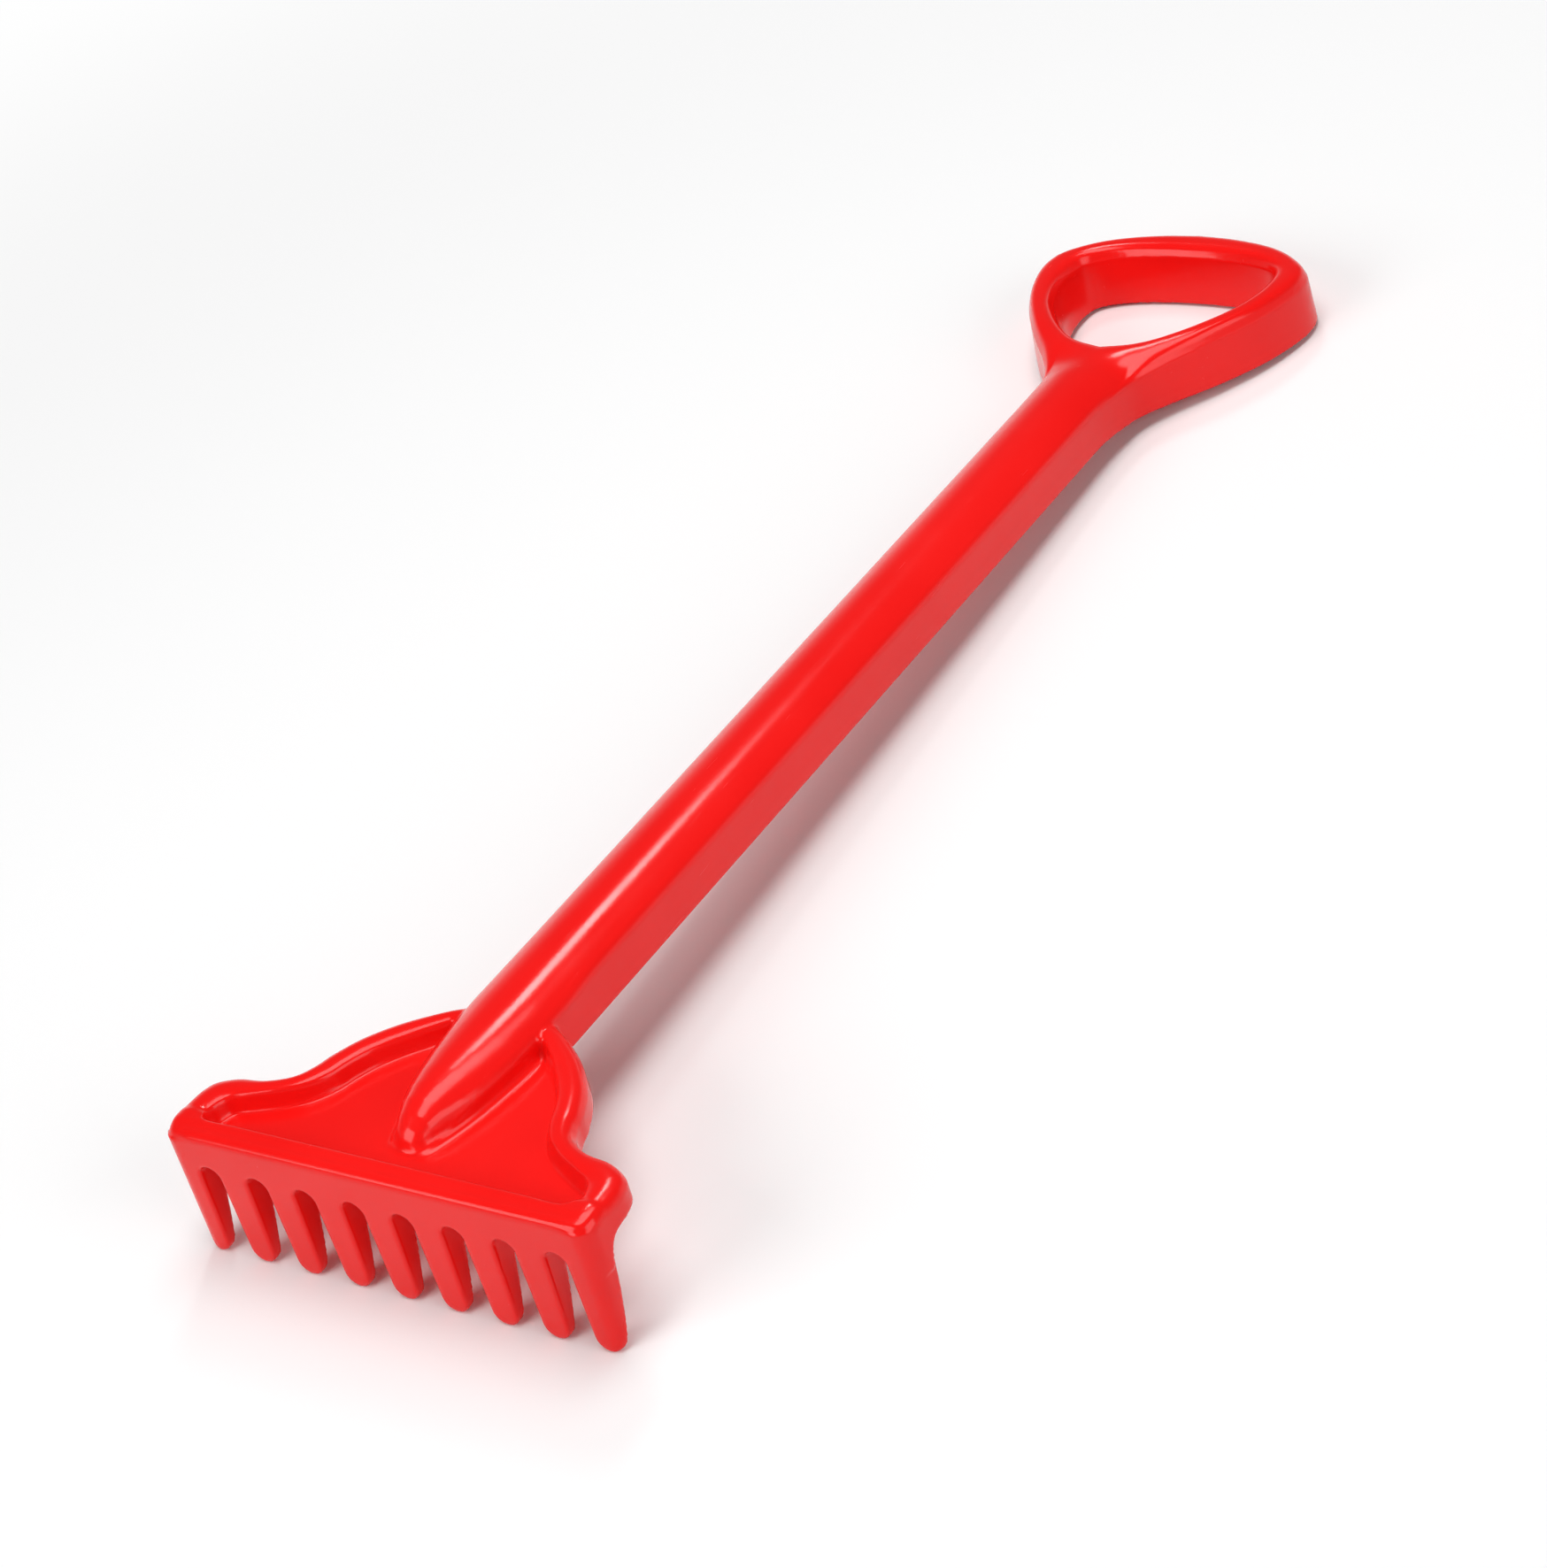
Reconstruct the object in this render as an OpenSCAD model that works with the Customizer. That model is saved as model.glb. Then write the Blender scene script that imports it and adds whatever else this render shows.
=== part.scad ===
// Toy sand rake: one thin-walled moulding, split here into its named regions.
// Every region is drawn in the tool's own axes: X across the comb, Y from the front
// wall toward the grip, Z up from the head's top plane. tool() then tips it the few degrees
// at which the tine tips and the far edge of the grip both rest on the ground.

/* [Handle] */
// Length from the front wall to the far side of the grip
tool_len = 503; // [440:1:600]
// Width of the shaft
shaft_w = 29; // [26:0.5:32]
// Height of the shaft's rounded top over its side edges
crown_rise = 5.5; // [4.5:0.1:6.5]
// Depth of the shaft's side walls below the head's top plane
skirt_drop = 12.8; // [11:0.1:14]
// Wall thickness of the moulding
wall = 2.2; // [1.8:0.1:2.6]

/* [Grip] */
// Outer width of the grip
grip_w = 100.4; // [98:0.4:112]
// Length of the grip, from the end of the shaft to its far side
grip_len = 101; // [98:1:110]
// Width of the hand hole
hole_w = 78.4; // [72:0.4:80]
// Length from the end of the shaft to the hand hole
throat_len = 24; // [20:0.5:28]
// Width of the crossbar across the far side of the grip
bar_w = 12; // [11:0.1:14]
// Height of the grip band's edges over the head's top plane
band_edge = 3; // [2:0.1:4]
// Height of the grip band's middle over the head's top plane
band_top = 5.9; // [5:0.1:7]
// Depth of the grip's walls below the head's top plane
grip_drop = 15; // [14:0.1:17]
// Outward lean of the grip's outer wall, from its top to its lower edge
grip_flare = 0.9; // [0.5:0.1:2.5]
// Lean of the grip's inner wall into the hand hole, from its top to its lower edge
hole_flare = 2.5; // [1:0.1:3]

/* [Head] */
// Width of the head
head_w = 146.4; // [142:0.4:150]
// Depth of the head, from the front wall to the shoulders
head_len = 70.7; // [64:0.1:80]
// Depth of the rim's outer wall
rim_drop = 9.3; // [8.8:0.1:10.5]
// Depth of the sunken web below the rim
web_drop = 6.2; // [5.4:0.1:6.8]
// Width of the flat band along the front edge
front_w = 8.3; // [7:0.1:9.5]
// Radius of the head's front corners, seen from above
corner_r = 5.5; // [4:0.1:6]

/* [Comb] */
// Distance from the middle of an end tine to the side of the head
end_margin = 5.2; // [5:0.1:6]
// Width of a tine where it leaves the comb
tine_w = 9.8; // [8.8:0.1:10.6]
// Width of a tine near its tip
tip_w = 8.7; // [7.5:0.1:9]
// Depth of the tine tips below the head's top plane
tine_drop = 43.7; // [38:0.1:52]
// Depth of the slot tops below the head's top plane
slot_drop = 11.3; // [10.6:0.1:13]
// Front-to-back depth of the tines at the slot tops
tine_depth = 8.5; // [7.5:0.1:9.5]
// Front-to-back depth of the tines at their tips
tip_depth = 2.6; // [2.3:0.1:3.4]

/* [Hidden] */
tine_count = 9;
red = [0.86, 0.05, 0.05];

// Small overrun of cutting shapes
over = 1;
// Rounding of the fold between the front band and the comb
fold_r = 1.8;
// Rounding of the tine tips, seen from the front
tip_r = tip_w / 2;
round_steps = 12;
// Length of the gusset that runs from the side of the head down the end tines
gusset_len = 6.5;
// Depth to which the gusset runs down the end tines
gusset_drop = 5;

// Places along the tool
throat_y = tool_len - grip_len;
hole_far_y = tool_len - bar_w;
hole_near_y = throat_y + throat_len;
hole_len = hole_far_y - hole_near_y;
throat_lead = wall * 2;
web_bottom = web_drop + wall;
tine_pitch = (head_w - 2 * end_margin) / (tine_count - 1);
arch_r = (tine_pitch - tine_w) / 2;
arch_z = -slot_drop - arch_r;

// The arc over the shaft, through its two edges and its middle
crown_r = (pow(shaft_w / 2, 2) + pow(crown_rise, 2)) / (2 * crown_rise);
crown_z = crown_rise - crown_r;
function crown(x) = crown_z + sqrt(crown_r * crown_r - x * x);

// How the tool is tipped to rest on its tines and its grip, and where its box then lies
tilt = atan((tine_drop - grip_drop) / (tool_len + grip_flare - tip_depth));
rest_z = tine_drop * cos(tilt) + tip_depth * sin(tilt);
front_y = -tine_drop * sin(tilt);
back_y = (tool_len + grip_flare) * cos(tilt) - grip_drop * sin(tilt);
module tool() translate([0, -(front_y + back_y) / 2, rest_z]) rotate([-tilt, 0, 0]) children();

// Grip outline, from the end of the shaft round to the middle of the crossbar:
// x as a share of half the width, y as a share of the length
hole_shares = [
    [0, 0], [0.27, 0.050], [0.47, 0.132], [0.70, 0.280], [0.885, 0.445],
    [0.985, 0.630], [0.975, 0.820], [0.865, 0.910], [0.620, 0.967], [0.310, 0.994], [0, 1]
];
grip_shares = [
    [0, 0], [0.335, 0.120], [0.455, 0.220], [0.680, 0.360], [0.885, 0.525],
    [0.995, 0.690], [0.980, 0.800], [0.860, 0.870], [0.630, 0.940], [0.310, 0.984], [0, 1]
];
// How far each of these places has turned from the shaft's section to the grip's
turn_shares = [0, 0.3, 0.65, 0.9, 1, 1, 1, 1, 1, 1, 1];

// Head outline on the right, from the shaft to the front, as shares of half the width and the depth:
// the outer edge of the rim, and the edge of the sunken web
rim_shares = [
    [0.228, 0.995], [0.310, 0.938], [0.428, 0.842], [0.530, 0.722], [0.594, 0.598],
    [0.622, 0.515], [0.665, 0.445], [0.757, 0.396], [0.873, 0.377], [0.960, 0.330], [0.992, 0.268]
];
recess_shares = [
    [0.215, 0.885], [0.293, 0.812], [0.372, 0.728], [0.434, 0.645], [0.476, 0.560],
    [0.505, 0.484], [0.565, 0.400], [0.655, 0.334], [0.757, 0.284], [0.828, 0.250], [0.853, 0.208]
];

// Nose over the web, from the shoulders to its tip: y as a share of its length, half width as a
// share of half the shaft, height of its middle and of its edges as shares of the step at its root
nose_tip_y = front_w * 2;
nose_shares = [
    [0, 1, 1, 1], [0.27, 0.965, 1, 0.95], [0.51, 0.855, 1, 0.89],
    [0.70, 0.71, 0.95, 0.79], [0.82, 0.57, 0.82, 0.67]
];
tip_shares = [
    [0.82, 0.57, 0.82, 0.67], [0.90, 0.46, 0.60, 0.48], [0.96, 0.36, 0.31, 0.20], [1, 0.26, 0.06, 0.03]
];

function mix(a, b, t) = a + (b - a) * t;
function flip(p) = [-p[0], p[1]];

// A smooth curve through a list of points; the first and last only steer its ends
function on_curve(p, i, t) =
    0.5 * (2 * p[i] + (p[i + 1] - p[i - 1]) * t
    + (2 * p[i - 1] - 5 * p[i] + 4 * p[i + 1] - p[i + 2]) * t * t
    + (3 * p[i] - p[i - 1] - 3 * p[i + 1] + p[i + 2]) * t * t * t);
function smooth(p, steps) = [
    for (i = [1:len(p) - 3]) for (k = [0:steps - 1]) on_curve(p, i, k / steps),
    p[len(p) - 2]
];

// Closed shell between two skins, each a grid of points given station by station
function quad(a, b, c, d) = [[a, b, c], [a, c, d]];
module shell(outer, inner) {
    n = len(outer);
    m = len(outer[0]);
    base = n * m;
    points = [for (ring = outer) each ring, for (ring = inner) each ring];
    faces = [
        for (i = [0:n - 2]) for (j = [0:m - 2]) let (a = i * m + j) each concat(
            quad(a, a + 1, a + m + 1, a + m),
            quad(base + a, base + a + m, base + a + m + 1, base + a + 1)),
        for (i = [0:n - 2]) let (a = i * m, b = i * m + m - 1) each concat(
            quad(a, a + m, base + a + m, base + a),
            quad(b, base + b, base + b + m, b + m)),
        for (j = [0:m - 2]) let (b = base - m + j) each concat(
            quad(j, base + j, base + j + 1, j + 1),
            quad(b, b + 1, base + b + 1, base + b))
    ];
    polyhedron(points, faces, convexity = 6);
}

// Solid through a list of closed outlines with as many points each
module loft(rings) {
    n = len(rings);
    m = len(rings[0]);
    points = [for (ring = rings) each ring];
    faces = [
        for (i = [0:n - 2]) for (j = [0:m - 1]) let (a = i * m + j, b = i * m + (j + 1) % m)
            each quad(a, b, b + m, a + m),
        [for (j = [m - 1:-1:0]) j],
        [for (j = [0:m - 1]) (n - 1) * m + j]
    ];
    polyhedron(points, faces, convexity = 4);
}

// Shaft: a rounded roof on two side walls, open below
module shaft_plan() polygon([
    [-shaft_w / 2, head_len], [-shaft_w / 2, throat_y], [0, hole_near_y],
    [shaft_w / 2, throat_y], [shaft_w / 2, head_len]
]);
module crown_circle(inset) translate([0, crown_z]) circle(crown_r - inset, $fn = 96);
module roof_section() difference() {
    intersection() {
        crown_circle(0);
        translate([0, crown_z]) square([shaft_w / 2 - wall, crown_r + over]);
    }
    crown_circle(wall);
}
module skirt_section() intersection() {
    crown_circle(0);
    translate([shaft_w / 2 - wall, -skirt_drop]) square([wall, skirt_drop + crown_rise]);
}
module between(low_z, high_z) translate([0, 0, low_z]) linear_extrude(high_z - low_z) children();
module along(from_y, to_y) translate([0, to_y, 0]) rotate([90, 0, 0]) linear_extrude(to_y - from_y) children();
module shaft_crown(side) color(red) tool() mirror([side > 0 ? 0 : 1, 0, 0])
    along(head_len, throat_y - throat_lead) roof_section();
module shaft_skirt(side) color(red) tool() mirror([side > 0 ? 0 : 1, 0, 0]) intersection() {
    along(head_len, hole_near_y) skirt_section();
    between(-skirt_drop - over, crown_rise + over) shaft_plan();
}

// Throat: the shaft's roof, carried on to the near end of the hand hole
throat_shares = [for (k = [-8:8]) sin(90 * k / 8)];
function throat_end(x) = mix(hole_near_y, throat_y, abs(x) / (shaft_w / 2));
function throat_row(x, z) = [[x, throat_y - throat_lead, z], [x, throat_end(x), z]];
module grip_throat() color(red) tool() shell(
    [for (s = throat_shares) let (x = s * (shaft_w / 2 - wall)) throat_row(x, crown(x))],
    [for (s = throat_shares) let (x = s * (shaft_w / 2 - wall)) throat_row(x, crown(x) - wall)]);

// Post: the wall under the throat, at the near end of the hand hole
module grip_post() color(red) tool() between(-skirt_drop, crown_rise - wall)
    polygon([[-wall, throat_end(wall)], [0, hole_near_y], [wall, throat_end(wall)]]);

// Grip: a looped band with an outer and an inner wall, open below
function hole_at(s) = [s[0] * hole_w / 2, hole_near_y + s[1] * hole_len];
function grip_at(s) = [s[0] * grip_w / 2, throat_y + s[1] * grip_len];
hole_pts = [for (s = hole_shares) hole_at(s)];
grip_pts = [[shaft_w / 2, throat_y], for (i = [1:len(grip_shares) - 1]) grip_at(grip_shares[i])];
hole_path = smooth([flip(hole_pts[1]), each hole_pts, flip(hole_pts[9])], 3);
grip_path = smooth([grip_pts[0] - [0, grip_len / 8], each grip_pts, flip(grip_pts[9])], 3);
turns = [for (t = smooth([for (v = [0, each turn_shares, 1]) [v, 0]], 3)) min(max(t[0], 0), 1)];
band_shares = [for (k = [0:10]) (1 - cos(18 * k)) / 2];
function band_z(s, turn) = mix(
    crown(shaft_w / 2 * (1 - s)),
    band_edge + (band_top - band_edge) * (1 - pow(abs(2 * s - 1), 3)), turn);
function at(o, h, s, z) = [mix(o[0], h[0], s), mix(o[1], h[1], s), z];
function wall_z(i) = -mix(skirt_drop, grip_drop, turns[i]);
// Lean of the two walls as shares of the way across the band
function outer_lean(i) = grip_flare * turns[i] / norm(hole_path[i] - grip_path[i]);
function inner_lean(i) = hole_flare * turns[i] / norm(hole_path[i] - grip_path[i]);
// Wall thickness as a share of the way across the band
function wall_share(i) = let (span = norm(hole_path[i] - grip_path[i]))
    mix(wall / (shaft_w / 2), wall / span, turns[i]);
function outer_ring(i) = let (o = grip_path[i], h = hole_path[i]) [
    at(o, h, -outer_lean(i), wall_z(i)),
    for (s = band_shares) at(o, h, s, band_z(s, turns[i])),
    at(o, h, 1 + inner_lean(i), wall_z(i))
];
function inner_ring(i) = let (o = grip_path[i], h = hole_path[i], w = wall_share(i)) [
    at(o, h, w - outer_lean(i), wall_z(i)),
    for (s = band_shares) at(o, h, w + s * (1 - 2 * w), band_z(w + s * (1 - 2 * w), turns[i]) - wall),
    at(o, h, 1 - w + inner_lean(i), wall_z(i))
];
arm_end = 18;
module arm() shell([for (i = [0:arm_end]) outer_ring(i)], [for (i = [0:arm_end]) inner_ring(i)]);
module half_bar() shell(
    [for (i = [arm_end:len(hole_path) - 1]) outer_ring(i)],
    [for (i = [arm_end:len(hole_path) - 1]) inner_ring(i)]);
module grip_arm(side) color(red) tool() if (side > 0) arm(); else mirror([1, 0, 0]) arm();
module grip_bar() color(red) tool() {
    half_bar();
    mirror([1, 0, 0]) half_bar();
}

// Nose: the shaft's roof runs out over the web as a narrowing ridge
nose_angles = [for (k = [0:8]) 180 - 22.5 * k];
function nose_y(s) = mix(head_len, nose_tip_y, s[0]);
function nose_ring(s, inset) = let (
    w = s[1] * shaft_w / 2 - inset,
    edge = s[3] * web_drop - web_drop,
    top = s[2] * (crown_rise + web_drop) - web_drop - inset
) [
    [-w, nose_y(s), -web_bottom],
    for (a = nose_angles) [w * sign(cos(a)) * pow(abs(cos(a)), 0.8), nose_y(s), mix(edge - inset, top, pow(sin(a), 0.9))],
    [w, nose_y(s), -web_bottom]
];
function nose_path(p) = smooth([2 * p[0] - p[1], each p, 2 * p[len(p) - 1] - p[len(p) - 2]], 2);
module nose_ridge() color(red) tool() shell(
    [for (s = nose_path(nose_shares)) nose_ring(s, 0)],
    [for (s = nose_path(nose_shares)) nose_ring(s, wall)]);
module nose_tip() color(red) tool() loft([for (s = nose_path(tip_shares)) nose_ring(s, 0)]);

// Rim: a raised bead round the shoulders and corners, with an outer wall
function rim_at(s) = [s[0] * head_w / 2, s[1] * head_len];
side_x = head_w / 2;
recess_x = side_x - corner_r - wall * 2;
rim_pts = [
    [shaft_w / 2, head_len * 1.02], for (i = [1:len(rim_shares) - 1]) rim_at(rim_shares[i]),
    [side_x, head_len * 0.2], [side_x, front_w]
];
recess_pts = [
    [shaft_w / 2, recess_shares[0][1] * head_len], for (i = [1:len(recess_shares) - 1]) rim_at(recess_shares[i]),
    [recess_x, head_len * 0.155], [recess_x, front_w]
];
last = len(rim_pts) - 1;
rim_path = smooth([2 * rim_pts[0] - rim_pts[1], each rim_pts, rim_pts[last] - [0, front_w]], 3);
recess_path = smooth([2 * recess_pts[0] - recess_pts[1], each recess_pts, recess_pts[last] - [0, front_w]], 3);
rim_edge = wall / 2;
function rim_outer(o, i) = [
    at(o, i, 0, -rim_drop), at(o, i, 0, -rim_edge), at(o, i, 0.07, -rim_edge / 3), at(o, i, 0.18, 0),
    at(o, i, 0.78, 0), at(o, i, 0.88, -rim_edge / 2), at(o, i, 1, -web_drop), at(o, i, 1, -web_bottom)
];
function rim_inner(o, i) = let (w = wall / norm(i - o)) [
    at(o, i, w, -rim_drop), at(o, i, w, -rim_edge - wall), at(o, i, w + 0.05, -rim_edge / 2 - wall),
    at(o, i, w + 0.1, -wall), at(o, i, 0.6, -wall), at(o, i, 0.66, -rim_edge - wall),
    at(o, i, 0.72, -web_drop), at(o, i, 0.72, -web_bottom)
];
module rim_half() shell(
    [for (k = [0:len(rim_path) - 1]) rim_outer(rim_path[k], recess_path[k])],
    [for (k = [0:len(rim_path) - 1]) rim_inner(rim_path[k], recess_path[k])]);
module rim(side) color(red) tool() if (side > 0) rim_half(); else mirror([1, 0, 0]) rim_half();

// Web: the sunken sheet between the rims, the front band and the nose
nose_edge = [for (s = concat(nose_path(nose_shares), nose_path(tip_shares))) [s[1] * shaft_w / 2, nose_y(s)]];
function both_sides(p) = concat(p, [for (k = [len(p) - 1:-1:0]) flip(p[k])]);
module head_web() color(red) tool() translate([0, 0, -web_bottom]) linear_extrude(wall) difference() {
    polygon(both_sides(recess_path));
    polygon(both_sides(nose_edge));
}

// Plan of the head's front: the outer line with its rounded corners, and the strip of wall along it
module front_plan(inset, back_y) intersection() {
    translate([-side_x + inset, inset]) square([2 * (side_x - inset), back_y - inset]);
    union() {
        for (x = [-1, 1]) translate([x * (side_x - corner_r), corner_r]) circle(corner_r - inset, $fn = 64);
        translate([-side_x + corner_r, inset]) square([2 * (side_x - corner_r), back_y]);
        translate([-side_x + inset, corner_r]) square([2 * (side_x - inset), back_y]);
    }
}
module front_strip(back_y) difference() {
    front_plan(0, back_y);
    front_plan(wall, back_y + over);
}

// Front band: the flat lip along the front edge, with a rounded fold
module across() translate([-side_x - over, 0, 0]) rotate([90, 0, 90]) linear_extrude(2 * (side_x + over)) children();
module front_band() color(red) tool() {
    intersection() {
        between(-wall, 0) front_plan(0, front_w);
        across() union() {
            translate([fold_r, -fold_r]) circle(fold_r, $fn = 48);
            translate([fold_r, -wall]) square([front_w, wall]);
            translate([0, -wall]) square([front_w, wall - fold_r]);
        }
    }
    between(-web_bottom, -wall) translate([-recess_x, front_w - wall]) square([2 * recess_x, wall]);
}

// Comb: the front wall, cut by round-topped slots with a flange round each
module slot_arch(r) intersection() {
    circle(r, $fn = 48);
    translate([-r, 0]) square([2 * r, r]);
}
// Side profile of the comb and its tines: y back from the front wall, z down
module tine_profile(deep) polygon([
    [0, 0], [deep + tine_depth - wall, 0], [tine_depth, -slot_drop], [tip_depth, -tine_drop], [0, -tine_drop]
]);
slot_xs = [for (i = [1:tine_count - 1]) (i - tine_count / 2) * tine_pitch];
module comb_wall() color(red) tool() difference() {
    union() {
        intersection() {
            between(arch_z, -wall) front_strip(corner_r);
            translate([-side_x + corner_r, 0, arch_z]) cube([2 * (side_x - corner_r), wall, -wall - arch_z]);
        }
        intersection() {
            for (x = slot_xs) translate([x, tine_depth, arch_z]) rotate([90, 0, 0])
                linear_extrude(tine_depth) slot_arch(arch_r + wall * 0.8);
            across() tine_profile(0);
        }
    }
    for (x = slot_xs) translate([x, tine_depth + over, arch_z]) rotate([90, 0, 0])
        linear_extrude(tine_depth + 2 * over) translate([0, -over]) union() {
            translate([0, over]) circle(arch_r, $fn = 48);
            translate([-arch_r, 0]) square([2 * arch_r, over]);
        }
}

// End wall: the comb's wall turned round the corner, with a gusset toward the head's side
module gusset_profile() difference() {
    polygon([
        [0, -wall], [front_w, -wall], [front_w, -rim_drop], [front_w + gusset_len, -rim_drop],
        [front_w + gusset_len, -rim_drop - wall / 2], [tine_depth, arch_z], [0, arch_z]
    ]);
    translate([tine_depth + gusset_len * 1.05, -rim_drop - gusset_drop - wall * 1.2])
        circle(gusset_len, $fn = 64);
}
module end_wall(side) color(red) tool() intersection() {
    between(arch_z, -wall) front_strip(front_w + gusset_len);
    translate([side > 0 ? side_x - corner_r : -side_x, 0, arch_z]) cube([corner_r, tool_len, -wall - arch_z]);
    across() gusset_profile();
}

// Tines: a front plate with a side wall along each edge, open behind
function tine_x(i) = (i - (tine_count + 1) / 2) * tine_pitch;
function round_tip(x, r, inset) = [for (k = [0:round_steps]) let (a = 180 * k / round_steps)
    [x + (r - inset) * cos(a), r - tine_drop - (r - inset) * sin(a)]];
module tine_front(inset) polygon([
    [-tine_w / 2 + inset, arch_z], [tine_w / 2 - inset, arch_z], each round_tip(0, tip_r, inset)
]);
module tine(i) color(red) tool() translate([tine_x(i), 0, 0]) intersection() {
    difference() {
        translate([0, tine_depth, 0]) rotate([90, 0, 0]) linear_extrude(tine_depth) tine_front(0);
        translate([0, tine_depth + over, 0]) rotate([90, 0, 0])
            linear_extrude(tine_depth + over - wall) tine_front(wall * 0.8);
    }
    across() tine_profile(0);
}
// End tines stand under the end walls, so their outer side follows the corner
end_in = slot_xs[tine_count - 2] + arch_r;
end_taper = (tine_w - tip_w) / 2;
end_tip_r = (side_x - end_in) / 2 - end_taper;
end_tip_x = (side_x + end_in) / 2;
module end_tine_front(inset) polygon([
    [end_in + inset, arch_z], [side_x - inset, arch_z], each round_tip(end_tip_x, end_tip_r, inset)
]);
module end_tine(side) color(red) tool() mirror([side > 0 ? 0 : 1, 0, 0]) intersection() {
    difference() {
        intersection() {
            between(-tine_drop, arch_z) front_plan(0, tine_depth);
            translate([0, tine_depth, 0]) rotate([90, 0, 0]) linear_extrude(tine_depth) end_tine_front(0);
        }
        translate([0, tine_depth + over, 0]) rotate([90, 0, 0])
            linear_extrude(tine_depth + over - wall) end_tine_front(wall * 0.8);
    }
    across() tine_profile(0);
}

shaft_crown(-1);  // shaft_crown_left
shaft_crown(1);  // shaft_crown_right
shaft_skirt(-1);  // shaft_skirt_left
shaft_skirt(1);  // shaft_skirt_right
grip_throat();
grip_post();
grip_arm(-1);  // grip_arm_left
grip_arm(1);  // grip_arm_right
grip_bar();
nose_ridge();
nose_tip();
head_web();
rim(-1);  // rim_left
rim(1);  // rim_right
front_band();
comb_wall();
end_wall(-1);  // end_wall_left
end_wall(1);  // end_wall_right
end_tine(-1);  // tine_1
for (i = [2:tine_count - 1]) tine(i);
end_tine(1);  // tine_9
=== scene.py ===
"""Toy sand rake: the moulding's visible skin, its plastic, a plain studio and the photograph's view."""

import math

import bpy
import numpy as np
from mathutils import Matrix, Vector


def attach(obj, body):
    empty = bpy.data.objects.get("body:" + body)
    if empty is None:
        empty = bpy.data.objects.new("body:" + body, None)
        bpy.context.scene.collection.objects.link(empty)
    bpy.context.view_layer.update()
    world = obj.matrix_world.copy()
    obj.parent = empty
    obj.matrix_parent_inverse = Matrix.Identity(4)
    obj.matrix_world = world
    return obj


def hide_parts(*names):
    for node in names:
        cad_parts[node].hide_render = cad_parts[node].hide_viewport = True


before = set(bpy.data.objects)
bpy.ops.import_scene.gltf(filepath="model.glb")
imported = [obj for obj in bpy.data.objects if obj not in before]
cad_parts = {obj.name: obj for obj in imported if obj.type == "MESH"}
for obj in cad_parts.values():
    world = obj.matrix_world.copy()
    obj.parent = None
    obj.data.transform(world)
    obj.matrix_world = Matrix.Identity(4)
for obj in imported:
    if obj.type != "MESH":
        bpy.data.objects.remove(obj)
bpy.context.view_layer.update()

# Sizes in millimetres, in the tool's own axes: X across the comb, Y from the front wall
# toward the grip, Z up from the head's top plane. They are the part's own sizes.
TOOL_LEN = 503.0
SHAFT_W = 29.0
CROWN_RISE = 5.5
SKIRT_DROP = 12.8
WALL = 2.2
GRIP_W = 100.4
GRIP_LEN = 101.0
HOLE_W = 78.4
THROAT_LEN = 24.0
BAR_W = 12.0
BAND_EDGE = 3.0
BAND_TOP = 5.9
GRIP_DROP = 15.0
GRIP_FLARE = 0.9
HOLE_FLARE = 2.5
HEAD_W = 146.4
HEAD_LEN = 70.7
RIM_DROP = 9.3
WEB_DROP = 6.2
FRONT_W = 8.3
CORNER_R = 5.5
END_MARGIN = 5.2
TINES = 9
TINE_W = 9.8
TIP_W = 8.7
TINE_DROP = 43.7
SLOT_DROP = 11.3
TINE_DEPTH = 8.5
TIP_DEPTH = 2.6

SIDE = HEAD_W / 2
PITCH = (HEAD_W - 2 * END_MARGIN) / (TINES - 1)
THROAT_Y = TOOL_LEN - GRIP_LEN
HOLE_FAR = TOOL_LEN - BAR_W
HOLE_NEAR = THROAT_Y + THROAT_LEN
ARCH_R = (PITCH - TINE_W) / 2
ARCH_Z = -SLOT_DROP - ARCH_R
CROWN_R = ((SHAFT_W / 2) ** 2 + CROWN_RISE**2) / (2 * CROWN_RISE)

# Outlines of the hand hole and of the grip, as shares of half their widths and of their lengths
HOLE_SHARES = [
    (0, 0), (0.27, 0.050), (0.47, 0.132), (0.70, 0.280), (0.885, 0.445), (0.985, 0.630),
    (0.975, 0.820), (0.865, 0.910), (0.620, 0.967), (0.310, 0.994), (0, 1),
]
GRIP_SHARES = [
    (0.335, 0.120), (0.455, 0.220), (0.680, 0.360), (0.885, 0.525), (0.995, 0.690),
    (0.980, 0.800), (0.860, 0.870), (0.630, 0.940), (0.310, 0.984), (0, 1),
]
# Outer line of the rim and edge of the recess, as shares of half the head's width and of its depth
RIM_SHARES = [
    (0.310, 0.938), (0.428, 0.842), (0.530, 0.722), (0.594, 0.598), (0.622, 0.515),
    (0.665, 0.445), (0.757, 0.396), (0.873, 0.377), (0.960, 0.330), (0.992, 0.268),
]
RECESS_SHARES = [
    (0.215, 0.885), (0.293, 0.812), (0.372, 0.728), (0.434, 0.645), (0.476, 0.560), (0.505, 0.484),
    (0.565, 0.400), (0.655, 0.334), (0.757, 0.284), (0.828, 0.250), (0.853, 0.208),
]
# The rim meets the shoulders just behind the head's depth, and runs straight beside the corners
SHOULDER_SHARE = 1.01
RIM_STRAIGHT = [(SIDE, 14.0), (SIDE, 8.0)]
# Corner of the recess at the front band
RECESS_CORNER = [(62.9, 11.4), (61.0, FRONT_W), (50, FRONT_W)]
# Where the shaft widens into the grip: half width, and distance from the grip's start
NECK_START = (14.5, -22)
NECK = [(14.5, -16), (14.6, -8), (15.2, 2)]

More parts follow.
